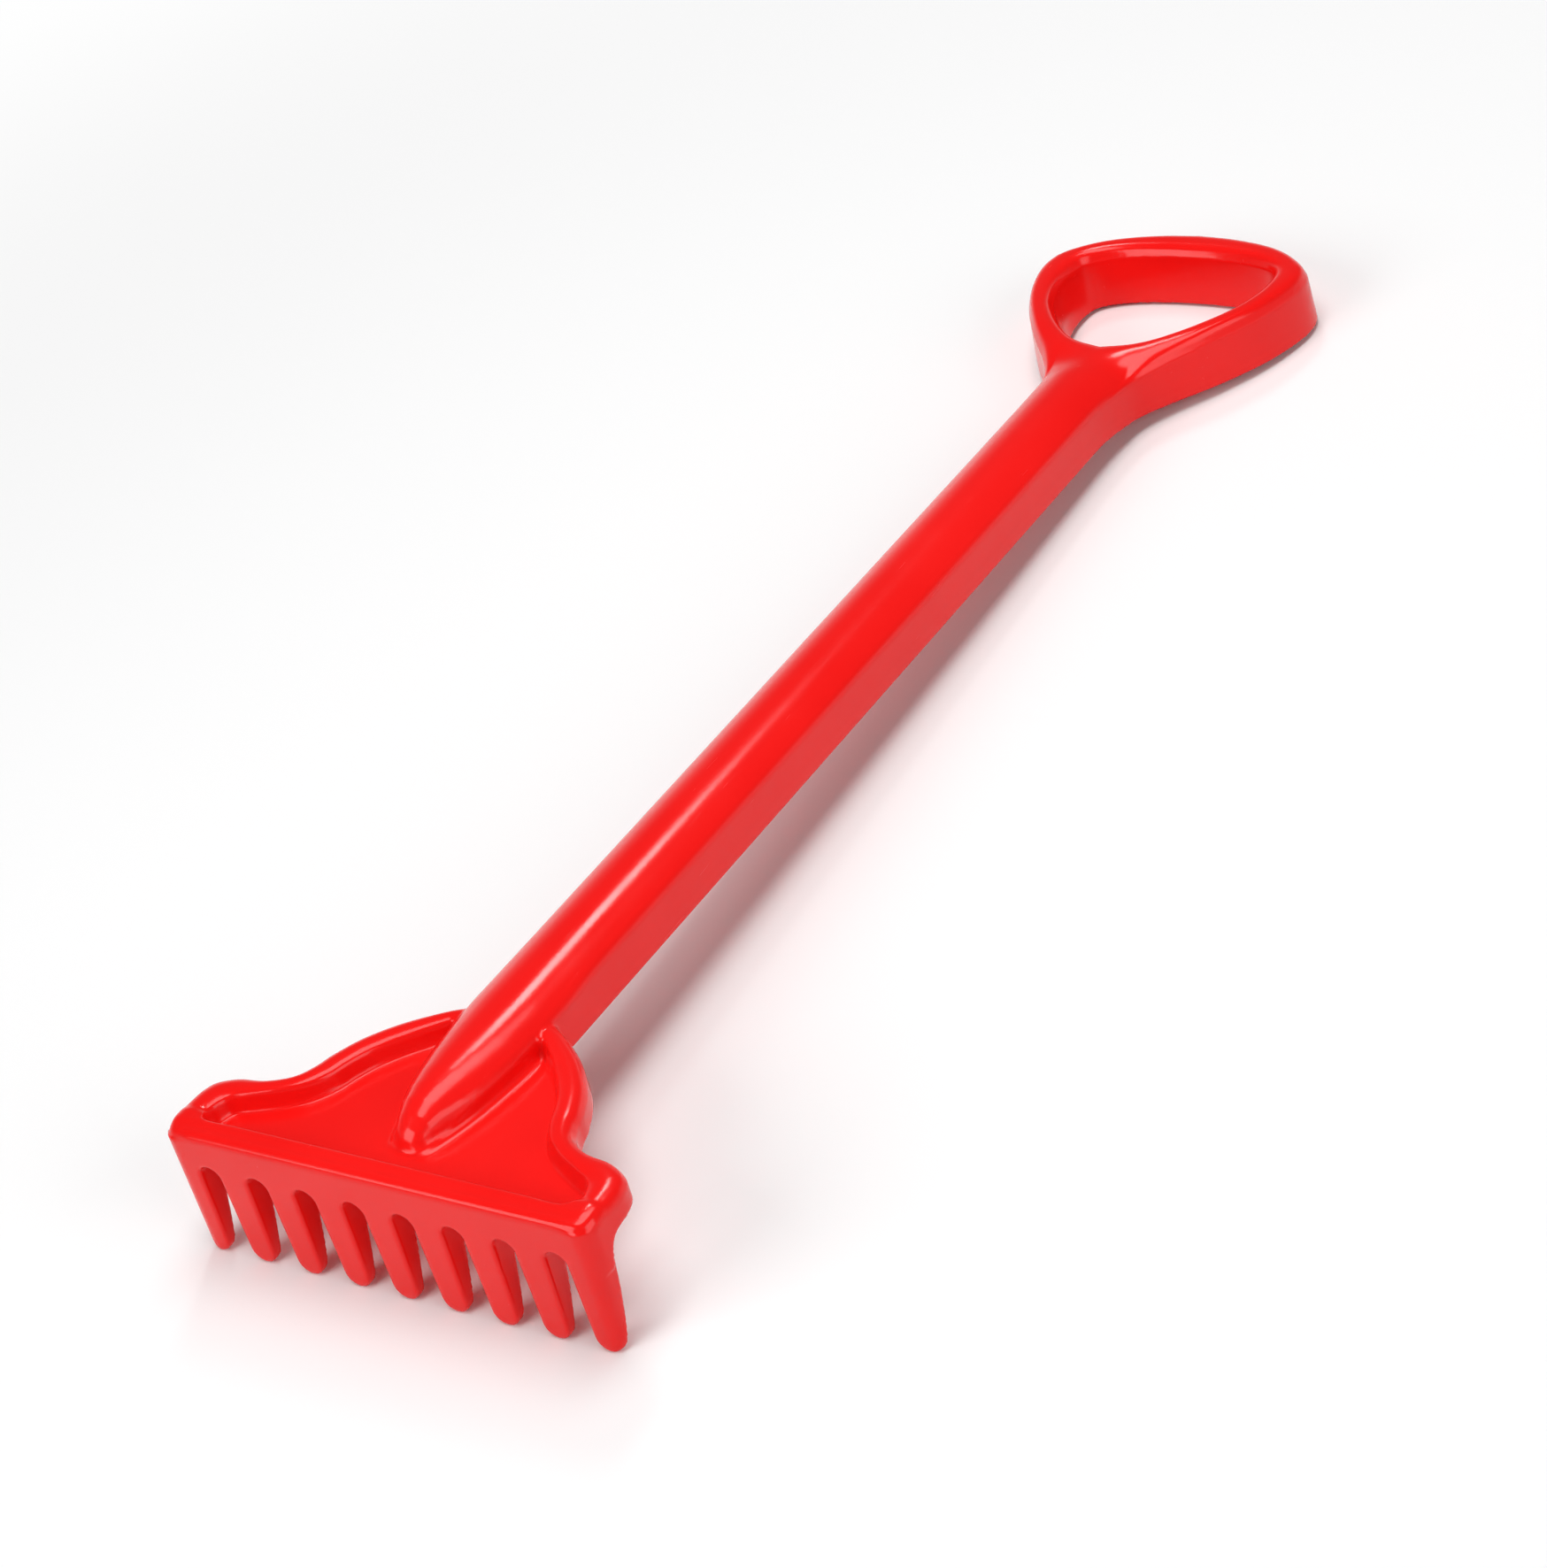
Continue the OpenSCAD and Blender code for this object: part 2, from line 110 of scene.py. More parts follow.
# Nose, by its distance from the front wall: half width, height of its middle, height of its edges
NOSE = np.array([
    (16.6, 3.8, -6.4, -6.6), (18.0, 4.8, -3.4, -5.2), (20.5, 6.0, -0.4, -3.6), (24.0, 7.4, 2.2, -2.5),
    (28.5, 9.0, 4.1, -1.8), (34.0, 10.6, 5.0, -1.2), (40.0, 11.9, 5.4, -0.8), (48.0, 13.2, 5.5, -0.5),
    (56.0, 14.0, 5.5, -0.3), (70.7, 14.5, 5.5, 0.0), (90.0, 14.5, 5.5, 0.0),
])
# Its rounded end seen from above, the stretch whose sides follow the half widths, and the place
# where these sides have become the shaft's
NOSE_TIP = 16.6
NOSE_END_W = 6.3
NOSE_END_LEN = 4.8
NOSE_SIDES = (23, 71)
NOSE_BACK = 90

# Depth of the tines and slot walls by their height, and the true distance to their sloping back
# as a share of its distance along Y
COMB_HEIGHTS = [-TINE_DROP, -39, -33, -25, -17, -SLOT_DROP, 0]
COMB_DEPTHS = [TIP_DEPTH, 3.7, 5.2, 6.9, 8.0, TINE_DEPTH, 7.3]
BACK_SLOPE = 0.97
# The comb's outline runs up past the head's top, but its plate stops this far below it. No part
# of the comb lies further back than COMB_BACK, and its plan is drawn back to PLAN_BACK.
COMB_RISE = 20.0
COMB_TOP = 2.8
COMB_BACK = 12
PLAN_BACK = 200
# Width of the flange round the tines and slots, the end tines' taper on their outer side, and
# the degrees from point to point of a slot's top or a tine's tip
COMB_FLANGE = 1.8
END_TAPER = 0.7
ARC_STEP = 12

# Stretches along the tool over which one form turns into the next: the crown into the throat's
# rounded edges, that into the grip's band, and the shaft's section into the grip's
TURN_SPAN = (THROAT_Y + 3, THROAT_Y + 26)
LOOP_SPAN = (THROAT_Y + 6, THROAT_Y + 46)
GRIP_SPAN = (THROAT_Y - 16, THROAT_Y + 24)
# The shaft's lean sets in, the rim's lower edge meets the shaft's, the fillet beside the nose
# ends, the nose's blunt edge sharpens, and the front edge's fold becomes the rim's edge
LEAN_SPAN = (72, 100)
SKIRT_SPAN = (62, 76)
SHOULDER_SPAN = (54, 72)
BLUNT_SPAN = (20, 38)
FOLD_SPAN = (3, 9)
# Outward lean of the shaft's sides toward their lower edge, as a share of the height
SKIRT_LEAN = 0.05

# Rim: fall of the bead on both sides of its crest, where the bead begins behind the front band
# and toward the sides, and the width of the slope between rim and web
BEAD_FALL = 1.8
BEAD_BACK = (8, 12)
BEAD_SIDE = (62, 70)
RECESS_SLOPE = (-1.5, 1.7)
# Lip along the back of the front band: its height, and where it rises and falls
LIP_RISE = 0.5
LIP_UP = (3.0, 6.8)
LIP_DOWN = (8.6, 12)

# Gusset under the side of the head, down the back of an end tine: its drop, the place and the
# length of its curve, and where it begins toward the side and ends toward the back
GUSSET_DROP = 9.0
GUSSET_Y = 6.9
GUSSET_FALL = 1.8
GUSSET_SIDE = (66, 69)
GUSSET_END = (16, 20)

# Radii of the rounded edges and fillets. The nose's tip and the nose's fillet have theirs on top
# of the shaft's edge and of the plain fillet.
SHAFT_EDGE_R = 1.3
TIP_MORE_R = 1.5
GRIP_EDGE_R = 1.9
HOLE_EDGE_R = 1.1
RIM_EDGE_R = 1.9
FOLD_R = 2.6
FILLET_R = 0.4
NOSE_FILLET_R = 2.4
LOW_EDGE_R = 0.4
COMB_EDGE_R = 0.8
BACK_EDGE_R = 0.45
FLANGE_EDGE_R = 0.3

# The grid that the skin is taken from, as runs of first line, end and spacing: fine on the head
# and grip, coarse along the shaft
X_RUNS = [(-74.7, 74.8, 0.6)]
Y_RUNS = [(-1.35, 79.8, 0.6), (80, 396, 3.2), (396.6, 506.2, 0.68)]
Z_RUNS = [(-45.2, -16.2, 0.7), (-16.0, 7.6, 0.52)]
# Moves that bring the skin's points onto the surface: how many, the share of the way that each
# one goes, and the least squared slope that it reckons with
MOVES = 2
MOVE_SHARE = 0.8
LEAST_SLOPE = 0.25

# Where the skin is cut into its four pieces
HEAD_END = 80
GRIP_START = 399


def curve(points, steps=10):
    """A smooth line through all the points, as a list of points."""
    p = np.array(points, float)
    p = np.vstack([2 * p[0] - p[1], p, 2 * p[-1] - p[-2]])
    line = []
    for i in range(1, len(p) - 2):
        for k in range(steps):
            t = k / steps
            line.append(0.5 * (2 * p[i] + (p[i + 1] - p[i - 1]) * t
                               + (2 * p[i - 1] - 5 * p[i] + 4 * p[i + 1] - p[i + 2]) * t * t
                               + (3 * p[i] - p[i - 1] - 3 * p[i + 1] + p[i + 2]) * t**3))
    line.append(p[-2])
    return np.array(line)


def both_sides(half):
    """A closed outline from its right half, given from one end of the middle line to the other."""
    half = np.array(half, float)
    return np.vstack([half, half[::-1] * (-1, 1)])


def distance(u, v, outline):
    """Signed distance from each point of a grid to a closed outline, negative inside it."""
    best = np.full(u.shape, 1e9)
    inside = np.zeros(u.shape, bool)
    for (ax, ay), (bx, by) in zip(outline, np.roll(outline, -1, axis=0)):
        dx, dy = bx - ax, by - ay
        size = dx * dx + dy * dy
        if size < 1e-12:
            continue
        t = np.clip(((u - ax) * dx + (v - ay) * dy) / size, 0, 1)
        best = np.minimum(best, (u - ax - t * dx) ** 2 + (v - ay - t * dy) ** 2)
        if ay != by:
            inside ^= ((ay > v) != (by > v)) & (u < ax + (v - ay) * dx / dy)
    return np.where(inside, -1, 1) * np.sqrt(best)


def step(span, x):
    """A smooth rise from 0 at the span's start to 1 at its end."""
    t = np.clip((x - span[0]) / (span[1] - span[0]), 0, 1)
    return t * t * t * (t * (6 * t - 15) + 10)


def mix(a, b, t):
    return a + (b - a) * t


def both(a, b, r):
    """What lies inside both shapes, with the edge between them rounded to radius r."""
    return np.minimum(-r, np.maximum(a, b)) + np.hypot(np.maximum(a + r, 0), np.maximum(b + r, 0))


def either(a, b, r):
    """What lies inside either shape, with a fillet of radius r between them."""
    return -both(-a, -b, r)


def crown(x):
    """Height of the shaft's rounded top at a distance from its middle."""
    x = np.minimum(np.abs(x), SHAFT_W / 2)
    return CROWN_RISE - CROWN_R + np.sqrt(CROWN_R**2 - x * x)


def head_points(shares):
    """Points of the head from shares of half its width and of its depth."""
    return [(a * SIDE, b * HEAD_LEN) for a, b in shares]


def way_across(a, b):
    """Share of the way from one line to another, from the distances inward of both."""
    a, b = np.clip(a, 0, None), np.clip(b, 0, None)
    return a / (a + b + 1e-6)


# Outlines seen from above
grip_line = [(a * GRIP_W / 2, THROAT_Y + b * GRIP_LEN) for a, b in GRIP_SHARES]
hole_line = [(a * HOLE_W / 2, mix(HOLE_NEAR, HOLE_FAR, b)) for a, b in HOLE_SHARES]
nose_side = [(w, y) for y, w, _, _ in NOSE if NOSE_SIDES[0] < y < NOSE_SIDES[1]]
nose_end = [(NOSE_END_W * math.sin(a), NOSE_TIP + NOSE_END_LEN * (1 - math.cos(a)))
            for a in np.radians(range(0, 90, 9))]
handle = both_sides(np.vstack([
    nose_end, curve(nose_side + [(SHAFT_W / 2, NOSE_BACK)]), [(NECK_START[0], THROAT_Y + NECK_START[1])],
    curve([(w, THROAT_Y + y) for w, y in NECK] + grip_line),
]))
hole = both_sides(curve(hole_line))
corner = [(SIDE - CORNER_R + CORNER_R * math.cos(a), CORNER_R - CORNER_R * math.sin(a))
          for a in np.radians(range(0, 91, 10))]
shoulder_y = HEAD_LEN * SHOULDER_SHARE
head = both_sides(np.vstack([
    [(0, shoulder_y)], curve([(SHAFT_W / 2, shoulder_y)] + head_points(RIM_SHARES) + RIM_STRAIGHT),
    corner, [(0, 0)],
]))
recess = both_sides(np.vstack([
    [(0, RECESS_SHARES[0][1] * HEAD_LEN)], curve(head_points(RECESS_SHARES) + RECESS_CORNER),
    [(0, FRONT_W)],
]))
front = both_sides(np.vstack([[(0, PLAN_BACK), (SIDE, PLAN_BACK)], corner, [(0, 0)]]))

# The comb seen from the front: round-topped slots between round-tipped tines
half_turn = np.radians(range(0, 181, ARC_STEP))
comb = [(-SIDE, COMB_RISE)]
for i in range(TINES):
    x = (i - (TINES - 1) / 2) * PITCH
    left = -SIDE + END_TAPER if i == 0 else x - TIP_W / 2
    right = SIDE - END_TAPER if i == TINES - 1 else x + TIP_W / 2
    r = (right - left) / 2
    comb += [((left + right) / 2 - r * math.cos(a), r - TINE_DROP - r * math.sin(a)) for a in half_turn]
    if i < TINES - 1:
        arch_x = x + PITCH / 2
        comb += [(arch_x - ARCH_R * math.cos(a), ARCH_Z + ARCH_R * math.sin(a)) for a in half_turn]
comb = np.array(comb + [(SIDE, COMB_RISE)])

xs, ys, zs = (np.concatenate([np.arange(*run) for run in runs]) for runs in (X_RUNS, Y_RUNS, Z_RUNS))
X2, Y2 = np.meshgrid(xs, ys, indexing="ij")
Z = zs[None, None, :].astype(np.float32)

d_handle = distance(X2, Y2, handle)
d_hole = distance(X2, Y2, hole)
d_head = distance(X2, Y2, head)
d_recess = distance(X2, Y2, recess)
d_front = distance(X2, Y2, front)

# Top of the handle: the nose and shaft by their distance from the middle, then the grip's band
half = np.interp(Y2, NOSE[:, 0], NOSE[:, 1])
middle = np.interp(Y2, NOSE[:, 0], NOSE[:, 2])
edge = np.interp(Y2, NOSE[:, 0], NOSE[:, 3])
share = np.clip(np.abs(X2) / half, 0, 1)
along = mix(edge, middle, crown(share * SHAFT_W / 2) / CROWN_RISE)
across = way_across(-d_handle, d_hole)
loop = BAND_EDGE + (BAND_TOP - BAND_EDGE) * (1 - np.abs(2 * across - 1) ** 3)
turning = crown(SHAFT_W / 2 * (1 - across))
handle_top = mix(mix(along, turning, step(TURN_SPAN, Y2)), loop, step(LOOP_SPAN, Y2))

# Top of the head: the rim's bead, the lip along the front band and the sunken web
lip = LIP_RISE * step(LIP_UP, Y2) * (1 - step(LIP_DOWN, Y2))
beside = way_across(d_recess, -d_head)
beaded = np.maximum(step(BEAD_BACK, Y2), step(BEAD_SIDE, np.abs(X2)))
bead = -BEAD_FALL * np.abs(2 * beside - 1) ** 2.0 * beaded
head_top = mix(-WEB_DROP, lip + bead, step(RECESS_SLOPE, d_recess))


def deep(a):
    """A map seen from above, ready to meet every height of the grid."""
    return a.astype(np.float32)[:, :, None]


def under(top):
    """Height over a surface, made even with its slope, so that it is negative below it."""
    gx, gy = np.gradient(top, xs, ys)
    return (Z - deep(top)) / deep(np.sqrt(1 + gx * gx + gy * gy))


# Handle and head, hollow below: an outer shape less the same shape one wall further in, cut off
# along the lower edge
gripped = step(GRIP_SPAN, Y2)
blunt = 1 - step(BLUNT_SPAN, Y2)
lean = SKIRT_LEAN * (Z + SKIRT_DROP) * deep(step(LEAN_SPAN, Y2) * (1 - gripped))
below = (Z - BAND_EDGE) / (GRIP_DROP + BAND_EDGE) * deep(gripped)
edge_r = deep(mix(SHAFT_EDGE_R + TIP_MORE_R * blunt, GRIP_EDGE_R, gripped))
f_handle = both(deep(d_handle) + lean + GRIP_FLARE * below, under(handle_top), edge_r)
f_handle = both(f_handle, lean + HOLE_FLARE * below - deep(d_hole), HOLE_EDGE_R)
f_head = both(deep(d_head), under(head_top), deep(mix(FOLD_R, RIM_EDGE_R, step(FOLD_SPAN, Y2))))
body = either(f_head, f_handle, deep(NOSE_FILLET_R * (1 - step(SHOULDER_SPAN, Y2)) + FILLET_R))
shell = np.maximum(body, -(body + WALL))
gusset = np.clip(GUSSET_DROP * np.exp(-(Y2 - GUSSET_Y) / GUSSET_FALL), 0, GUSSET_DROP)
gusset = gusset * step(GUSSET_SIDE, np.abs(X2)) * (1 - step(GUSSET_END, Y2))
bottom = -RIM_DROP - (SKIRT_DROP - RIM_DROP) * step(SKIRT_SPAN, Y2)
bottom = bottom - (GRIP_DROP - SKIRT_DROP) * gripped - gusset
shell = both(shell, deep(bottom) - Z, LOW_EDGE_R)

# The comb: a front plate with a flange along every edge, open behind
XZ, ZZ = np.meshgrid(xs, zs, indexing="ij")
d_comb = distance(XZ, ZZ, comb).astype(np.float32)[:, None, :]
depth = np.interp(zs, COMB_HEIGHTS, COMB_DEPTHS)
near = ys < COMB_BACK
d_back = (ys[None, near, None] - depth[None, None, :]).astype(np.float32) * BACK_SLOPE
plan = deep(d_front[:, near])
outer = both(d_comb, plan, COMB_EDGE_R)
outer = both(outer, d_back, BACK_EDGE_R)
outer = np.maximum(outer, Z + COMB_TOP)
outer = both(outer, -np.maximum(d_comb + COMB_FLANGE, plan + WALL), FLANGE_EDGE_R)
shell[:, near] = np.minimum(shell[:, near], outer)
field = shell.astype(np.float32)
del shell, body, f_head, f_handle, lean, below, outer


def skin(f, axes):
    """Vertices, normals and quads of the surface where the field is zero, one vertex to a cell."""
    n = np.array(f.shape)
    inside = f < 0
    count = np.zeros(n - 1, np.int8)
    corners = [(i, j, k) for i in (0, 1) for j in (0, 1) for k in (0, 1)]
    for c in corners:
        count += inside[tuple(slice(o, o + m - 1) for o, m in zip(c, n))]
    cells = np.argwhere((count > 0) & (count < 8))
    index = np.full(n - 1, -1, np.int64)
    index[tuple(cells.T)] = np.arange(len(cells))

    # First guess: the middle of the places where the field changes sign along the cell's edges
    total = np.zeros((len(cells), 3))
    hits = np.zeros(len(cells))
    for c in corners:
        for axis in range(3):
            if c[axis]:
                continue
            d = list(c)
            d[axis] = 1
            p, q = cells + c, cells + d
            fp, fq = f[tuple(p.T)].astype(float), f[tuple(q.T)].astype(float)
            cut = (fp < 0) != (fq < 0)
            t = np.where(cut, fp / np.where(cut, fp - fq, 1), 0)
            for a in range(3):
                low = axes[a][p[:, a]]
                total[:, a] += np.where(cut, low + t * (axes[a][q[:, a]] - low), 0)
            hits += cut
    points = total / hits[:, None]
    slopes = np.gradient(f, *[a.astype(np.float32) for a in axes])

    def sample(values):
        """The values at the points, from the eight corners of each point's cell."""
        result = np.zeros((len(points), len(values)))
        at_cell = []
        for a in range(3):
            low, high = axes[a][cells[:, a]], axes[a][cells[:, a] + 1]
            at_cell.append(np.clip((points[:, a] - low) / (high - low), 0, 1))
        for c in corners:
            w = np.ones(len(points))
            for a in range(3):
                w *= at_cell[a] if c[a] else 1 - at_cell[a]
            place = tuple((cells + c).T)
            for m, v in enumerate(values):
                result[:, m] += w * v[place]
        return result

    # Moves along the slope bring the points onto the surface
    for _ in range(MOVES):
        s = sample([f, *slopes])
        g = s[:, 1:]
        points -= g * (s[:, 0] / np.maximum((g * g).sum(1), LEAST_SLOPE))[:, None] * MOVE_SHARE
    normals = sample(slopes)
    normals /= np.maximum(np.linalg.norm(normals, axis=1), 1e-9)[:, None]

    # A quad round each grid edge that the surface crosses, turned to face outward
    quads = []
    for axis in range(3):
        u, v = (axis + 1) % 3, (axis + 2) % 3
        first = [slice(1, m - 1) for m in n]
        second = list(first)
        first[axis] = slice(0, n[axis] - 1)
        second[axis] = slice(1, n[axis])
        a, b = inside[tuple(first)], inside[tuple(second)]
        where = np.argwhere(a != b)
        outward = a[tuple(where.T)]
        where[:, u] += 1
        where[:, v] += 1
        ring = []
        for du, dv in ((0, 0), (-1, 0), (-1, -1), (0, -1)):
            c = where.copy()
            c[:, u] += du
            c[:, v] += dv
            ring.append(index[tuple(c.T)])
        ring = np.stack(ring, 1)
        ring[~outward] = ring[~outward][:, ::-1]
        quads.append(ring)
    return points, normals, np.vstack(quads)


points, normals, quads = skin(field, (xs, ys, zs))
del field

# From the tool's axes to the frame's: tipped to rest on the tine tips and the grip
MM = 0.001
tilt = math.atan((TINE_DROP - GRIP_DROP) / (TOOL_LEN + GRIP_FLARE - TIP_DEPTH))
rest_z = TINE_DROP * math.cos(tilt) + TIP_DEPTH * math.sin(tilt)
front_y = -TINE_DROP * math.sin(tilt)
back_y = (TOOL_LEN + GRIP_FLARE) * math.cos(tilt) - GRIP_DROP * math.sin(tilt)
turn = np.array([[1, 0, 0], [0, math.cos(tilt), math.sin(tilt)], [0, -math.sin(tilt), math.cos(tilt)]])
shift = np.array([0, -(front_y + back_y) / 2, rest_z])


def to_frame(p):
    return (np.asarray(p, float) @ turn.T + shift) * MM


def new_node(tree, kind, values=(), **settings):
    """A new shader node with its settings, and the values of its unlinked sockets."""
    node = tree.nodes.new(f"ShaderNode{kind}")
    for name, value in settings.items():
        setattr(node, name, value)
    for socket, value in values:
        node.inputs[socket].default_value = value
    return node


def set_stops(node, stops):
    """Give a colour ramp its stops, each a place with a grey or a colour."""
    elements = node.color_ramp.elements
    while len(elements) < len(stops):
        elements.new(0.5)
    for element, (at, colour) in zip(elements, stops):
        element.position = at
        element.color = (*colour, 1) if isinstance(colour, tuple) else (colour, colour, colour, 1)


# The plastic's reds and its roughness, each from where the flow clouds and the gloss are low to
# where they are high, then on rubbed edges, and what a hairline adds to the roughness
REDS = ((0.86, 0.0065, 0.0055), (0.93, 0.0095, 0.0080))
RUBBED_RED = (0.90, 0.030, 0.024)
ROUGHNESS = (0.13, 0.21)
RUBBED_ROUGHNESS = (0.33, 0.33, 0.33)
HAIRLINE = 0.10


def red_plastic():
    """Glossy moulded plastic in one deep red, with flow clouds, orange peel, rubbed edges, hairlines."""
    m = bpy.data.materials.new("red_plastic")
    m.use_nodes = True
    tree = m.node_tree
    link = tree.links.new
    shader = tree.nodes["Principled BSDF"]
    place = new_node(tree, "TexCoord")

    def noise(scale, detail, rough=0.5, stretch=(1, 1, 1)):
        mapping = new_node(tree, "Mapping", [("Scale", stretch)])
        n = new_node(tree, "TexNoise", [("Scale", scale), ("Detail", detail), ("Roughness", rough)])
        link(place.outputs["Object"], mapping.inputs["Vector"])
        link(mapping.outputs["Vector"], n.inputs["Vector"])
        return n.outputs["Fac"]

    def ramp(source, *stops):
        r = new_node(tree, "ValToRGB")
        set_stops(r, stops)
        link(source, r.inputs["Fac"])
        return r.outputs["Color"]

    def blend(kind, factor, a, b):
        """Mix of two colours; each of the three may be a value or another node's output."""
        n = new_node(tree, "Mix", data_type="RGBA", blend_type=kind)
        if isinstance(factor, float):
            n.inputs["Factor"].default_value = factor
        else:
            link(factor, n.inputs["Factor"])
        for value, name in ((a, "A"), (b, "B")):
            socket = [s for s in n.inputs if s.name == name and s.type == "RGBA"][0]
            if isinstance(value, tuple):
                socket.default_value = (*value, 1)
            else:
                link(value, socket)
        return [s for s in n.outputs if s.type == "RGBA"][0]

    def bump(strength, height, reach):
        n = new_node(tree, "Bump", [("Strength", strength), ("Distance", reach)])
        link(height, n.inputs["Height"])
        return n

    # Colour: flow clouds, a little paler where edges are rubbed in patches
    clouds = ramp(noise(14, 3), (0.3, REDS[0]), (0.7, REDS[1]))
    shape = new_node(tree, "NewGeometry")
    rubbed = ramp(shape.outputs["Pointiness"], (0.52, 0.0), (0.60, 1.0))
    patchy = ramp(noise(60, 4, 0.6), (0.45, 0.0), (0.75, 1.0))
    worn = blend("MULTIPLY", 1.0, rubbed, patchy)
    link(blend("MIX", worn, clouds, RUBBED_RED), shader.inputs["Base Color"])
    # Gloss: uneven, duller along hairlines and on the rubbed edges
    gloss = ramp(noise(30, 5, 0.6), (0.3, ROUGHNESS[0]), (0.75, ROUGHNESS[1]))
    hair = ramp(noise(900, 2, 0.5, (1, 0.04, 1)), (0.66, 0.0), (0.74, HAIRLINE))
    dull = blend("MIX", worn, blend("ADD", 1.0, gloss, hair), RUBBED_ROUGHNESS)
    link(dull, shader.inputs["Roughness"])
    # Surface: orange peel, then the hairlines cut into it
    peel = bump(0.05, noise(230, 2), 0.0004)
    scratch = bump(0.03, hair, 0.0001)
    link(peel.outputs["Normal"], scratch.inputs["Normal"])
    link(scratch.outputs["Normal"], shader.inputs["Normal"])
    shader.inputs["IOR"].default_value = 1.49
    shader.inputs["Specular IOR Level"].default_value = 0.32
    return m


# The skin in four pieces: comb, head, shaft and grip
PIECES = (
    ("comb_skin", ["comb_wall", "end_wall_left", "end_wall_right"]
     + [f"tine_{i}" for i in range(1, TINES + 1)]),
    ("head_skin", ["nose_ridge", "nose_tip", "head_web", "rim_left", "rim_right", "front_band"]),
    ("shaft_skin", ["shaft_crown_left", "shaft_crown_right", "shaft_skirt_left", "shaft_skirt_right"]),
    ("grip_skin", ["grip_throat", "grip_post", "grip_arm_left", "grip_arm_right", "grip_bar"]),
)
plastic = red_plastic()
face_y = points[:, 1][quads].mean(1)
face_z = points[:, 2][quads].mean(1)
on_comb = (face_y < COMB_BACK) & (face_z < -RIM_DROP)
piece_of = np.where(on_comb, 0, np.where(face_y < HEAD_END, 1, np.where(face_y < GRIP_START, 2, 3)))
in_frame = to_frame(points)
outward = normals @ turn.T
for k, (name, stands_for) in enumerate(PIECES):
    used, faces = np.unique(quads[piece_of == k], return_inverse=True)
    faces = faces.reshape(-1, 4)
    mesh = bpy.data.meshes.new(name)
    mesh.from_pydata(in_frame[used].tolist(), [], faces.tolist())
    mesh.polygons.foreach_set("use_smooth", np.ones(len(mesh.polygons), bool))
    mesh.normals_split_custom_set_from_vertices(outward[used].tolist())
    mesh.materials.append(plastic)
    piece = bpy.data.objects.new(name, mesh)
    bpy.context.scene.collection.objects.link(piece)
    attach(piece, "root")
    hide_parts(*stands_for)

# Floor: pale paper that keeps the shadow, and turns white toward the horizon. Half its length, its
# grey in the light and as the camera sees it, and the distances over which it turns white
FLOOR = 6.0
PAPER = 0.86
PAPER_SEEN = 0.95
FADE = (0.32, 0.9)
floor_mesh = bpy.data.meshes.new("floor")
floor_mesh.from_pydata([(-FLOOR, -FLOOR, 0), (FLOOR, -FLOOR, 0), (FLOOR, FLOOR, 0), (-FLOOR, FLOOR, 0)],
                       [], [(0, 1, 2, 3)])
floor = bpy.data.objects.new("floor", floor_mesh)
bpy.context.scene.collection.objects.link(floor)
paper = bpy.data.materials.new("paper")
paper.use_nodes = True
tree = paper.node_tree
link = tree.links.new
shader = tree.nodes["Principled BSDF"]
shader.inputs["Roughness"].default_value = 0.9
shader.inputs["Specular IOR Level"].default_value = 0.1
light_path = new_node(tree, "LightPath")
pale = new_node(tree, "Mix", [("A", PAPER), ("B", PAPER_SEEN)], data_type="FLOAT")
link(light_path.outputs["Is Camera Ray"], pale.inputs["Factor"])
link(pale.outputs["Result"], shader.inputs["Base Color"])
place = new_node(tree, "TexCoord")
away = new_node(tree, "VectorMath", operation="LENGTH")
fade = new_node(tree, "MapRange", [("From Min", FADE[0]), ("From Max", FADE[1])],
                interpolation_type="SMOOTHSTEP")
seen = new_node(tree, "Math", operation="MAXIMUM")
weight = new_node(tree, "Math", operation="MULTIPLY")
white = new_node(tree, "Emission", [("Strength", 1.0)])
horizon = new_node(tree, "MixShader")
link(place.outputs["Object"], away.inputs[0])
link(away.outputs["Value"], fade.inputs["Value"])
link(light_path.outputs["Is Camera Ray"], seen.inputs[0])
link(light_path.outputs["Is Glossy Ray"], seen.inputs[1])
link(fade.outputs["Result"], weight.inputs[0])
link(seen.outputs["Value"], weight.inputs[1])
link(weight.outputs["Value"], horizon.inputs["Fac"])
link(shader.outputs["BSDF"], horizon.inputs[1])
link(white.outputs["Emission"], horizon.inputs[2])
link(horizon.outputs["Shader"], tree.nodes["Material Output"].inputs["Surface"])
floor_mesh.materials.append(paper)

# Soft lamps: name, form, place, aim, width, length and power
LAMPS = (
    ("overhead", "ELLIPSE", (0.05, 0.12, 1.6), (0.05, 0.12, 0), 0.85, 1.66, 17),
    ("strip", "RECTANGLE", (-0.54, 0.98, 1.4), (0, -0.1, 0), 0.24, 0.34, 4),
    ("front", "RECTANGLE", (-0.7, -1.6, 1.1), (0, 0, 0), 1.2, 1.0, 15),
    ("side", "RECTANGLE", (1.7, -0.4, 0.9), (0, 0, 0), 1.2, 1.0, 10),
)
for name, form, at, aim, width, length, power in LAMPS:
    data = bpy.data.lights.new(name, "AREA")
    data.shape = form
    data.size = width
    data.size_y = length
    data.energy = power
    lamp = bpy.data.objects.new(name, data)
    lamp.location = at
    lamp.rotation_euler = (Vector(aim) - Vector(at)).to_track_quat("-Z", "Y").to_euler()
    bpy.context.scene.collection.objects.link(lamp)

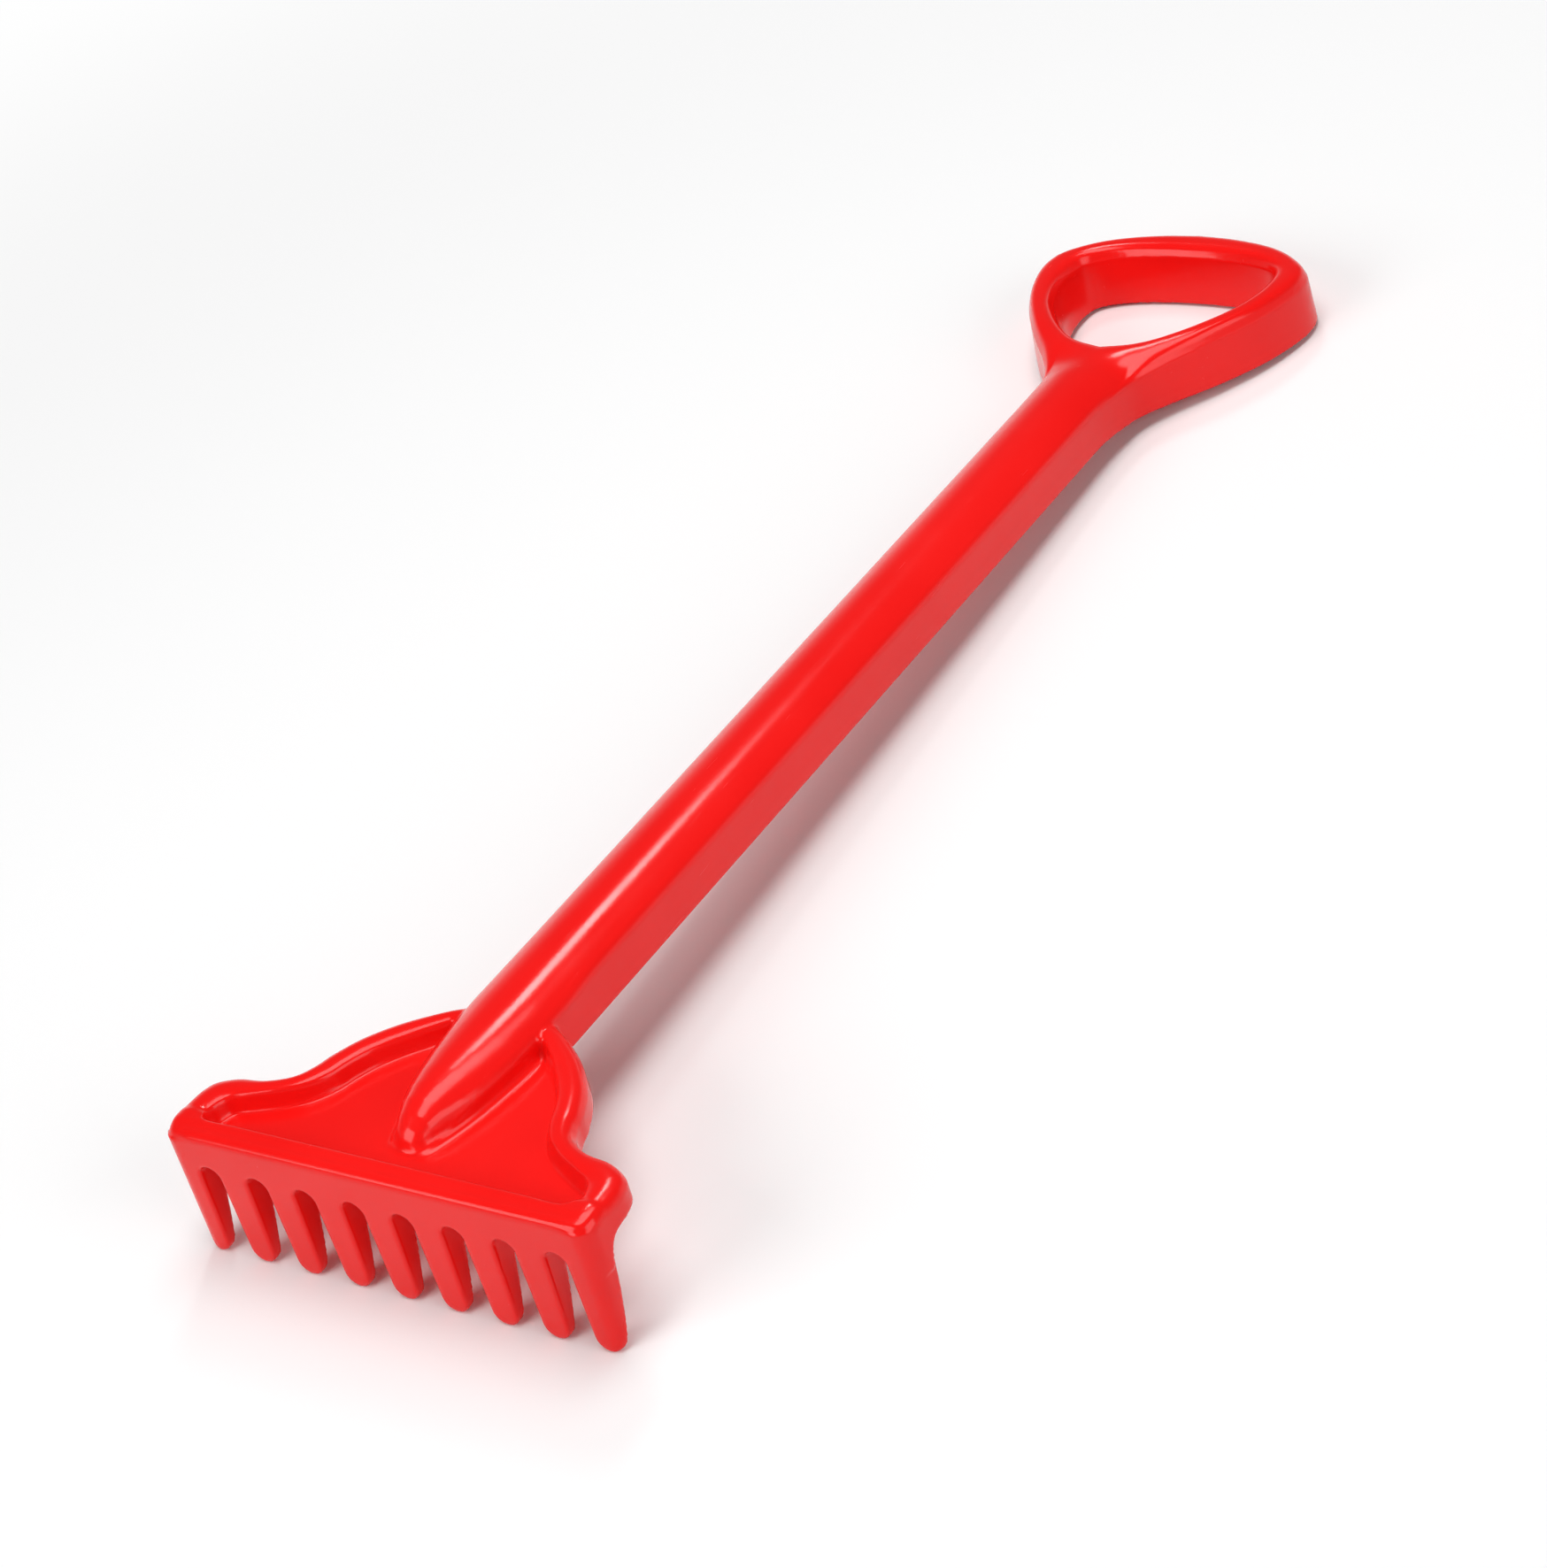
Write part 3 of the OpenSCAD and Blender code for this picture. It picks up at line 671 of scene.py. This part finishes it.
# World: white to the camera; as light and in the gloss it glows near the horizon and is dim overhead
GLOW = ((0.0, 0.8), (0.12, 0.45), (0.34, 0.12), (1.0, 0.09))
world = bpy.data.worlds.new("studio")
bpy.context.scene.world = world
world.use_nodes = True
tree = world.node_tree
link = tree.links.new
background = tree.nodes["Background"]
background.inputs["Color"].default_value = (1, 1, 1, 1)
light_path = new_node(tree, "LightPath")
direction = new_node(tree, "TexCoord")
split = new_node(tree, "SeparateXYZ")
glow = new_node(tree, "ValToRGB")
set_stops(glow, GLOW)
strength = new_node(tree, "Mix", [("B", 1.0)], data_type="FLOAT")
link(direction.outputs["Generated"], split.inputs["Vector"])
link(split.outputs["Z"], glow.inputs["Fac"])
link(glow.outputs["Color"], strength.inputs["A"])
link(light_path.outputs["Is Camera Ray"], strength.inputs["Factor"])
link(strength.outputs["Result"], background.inputs["Strength"])

# Camera: the photograph's view, 1748 by 1772 pixels, a long lens from the right and above.
# Its place is in the tool's millimetres, its angles are in radians.
PHOTO_W = 1748.0
FOCAL_PX = 4200.0
SENSOR_MM = 36.0
CENTRE = np.array([614.36, -502.91, 583.94])
AZIMUTH, ELEVATION, ROLL = 0.71632, 0.57104, -0.28836
ahead = np.array([-math.sin(AZIMUTH) * math.cos(ELEVATION), math.cos(AZIMUTH) * math.cos(ELEVATION),
                  -math.sin(ELEVATION)])
right = np.array([math.cos(AZIMUTH), math.sin(AZIMUTH), 0])
up = np.cross(right, ahead)
right, up = (math.cos(ROLL) * right + math.sin(ROLL) * up, -math.sin(ROLL) * right + math.cos(ROLL) * up)
camera_data = bpy.data.cameras.new("camera")
camera_data.sensor_fit = "HORIZONTAL"
camera_data.sensor_width = SENSOR_MM
camera_data.lens = FOCAL_PX * SENSOR_MM / PHOTO_W
camera_data.clip_start = 0.05
camera_data.clip_end = 50
camera = bpy.data.objects.new("camera", camera_data)
bpy.context.scene.collection.objects.link(camera)
pose = np.eye(4)
pose[:3, :3] = np.stack([turn @ right, turn @ up, -(turn @ ahead)], 1)
pose[:3, 3] = to_frame(CENTRE)
camera.matrix_world = Matrix(pose.tolist())
bpy.context.scene.camera = camera
bpy.context.scene.view_settings.view_transform = "Standard"
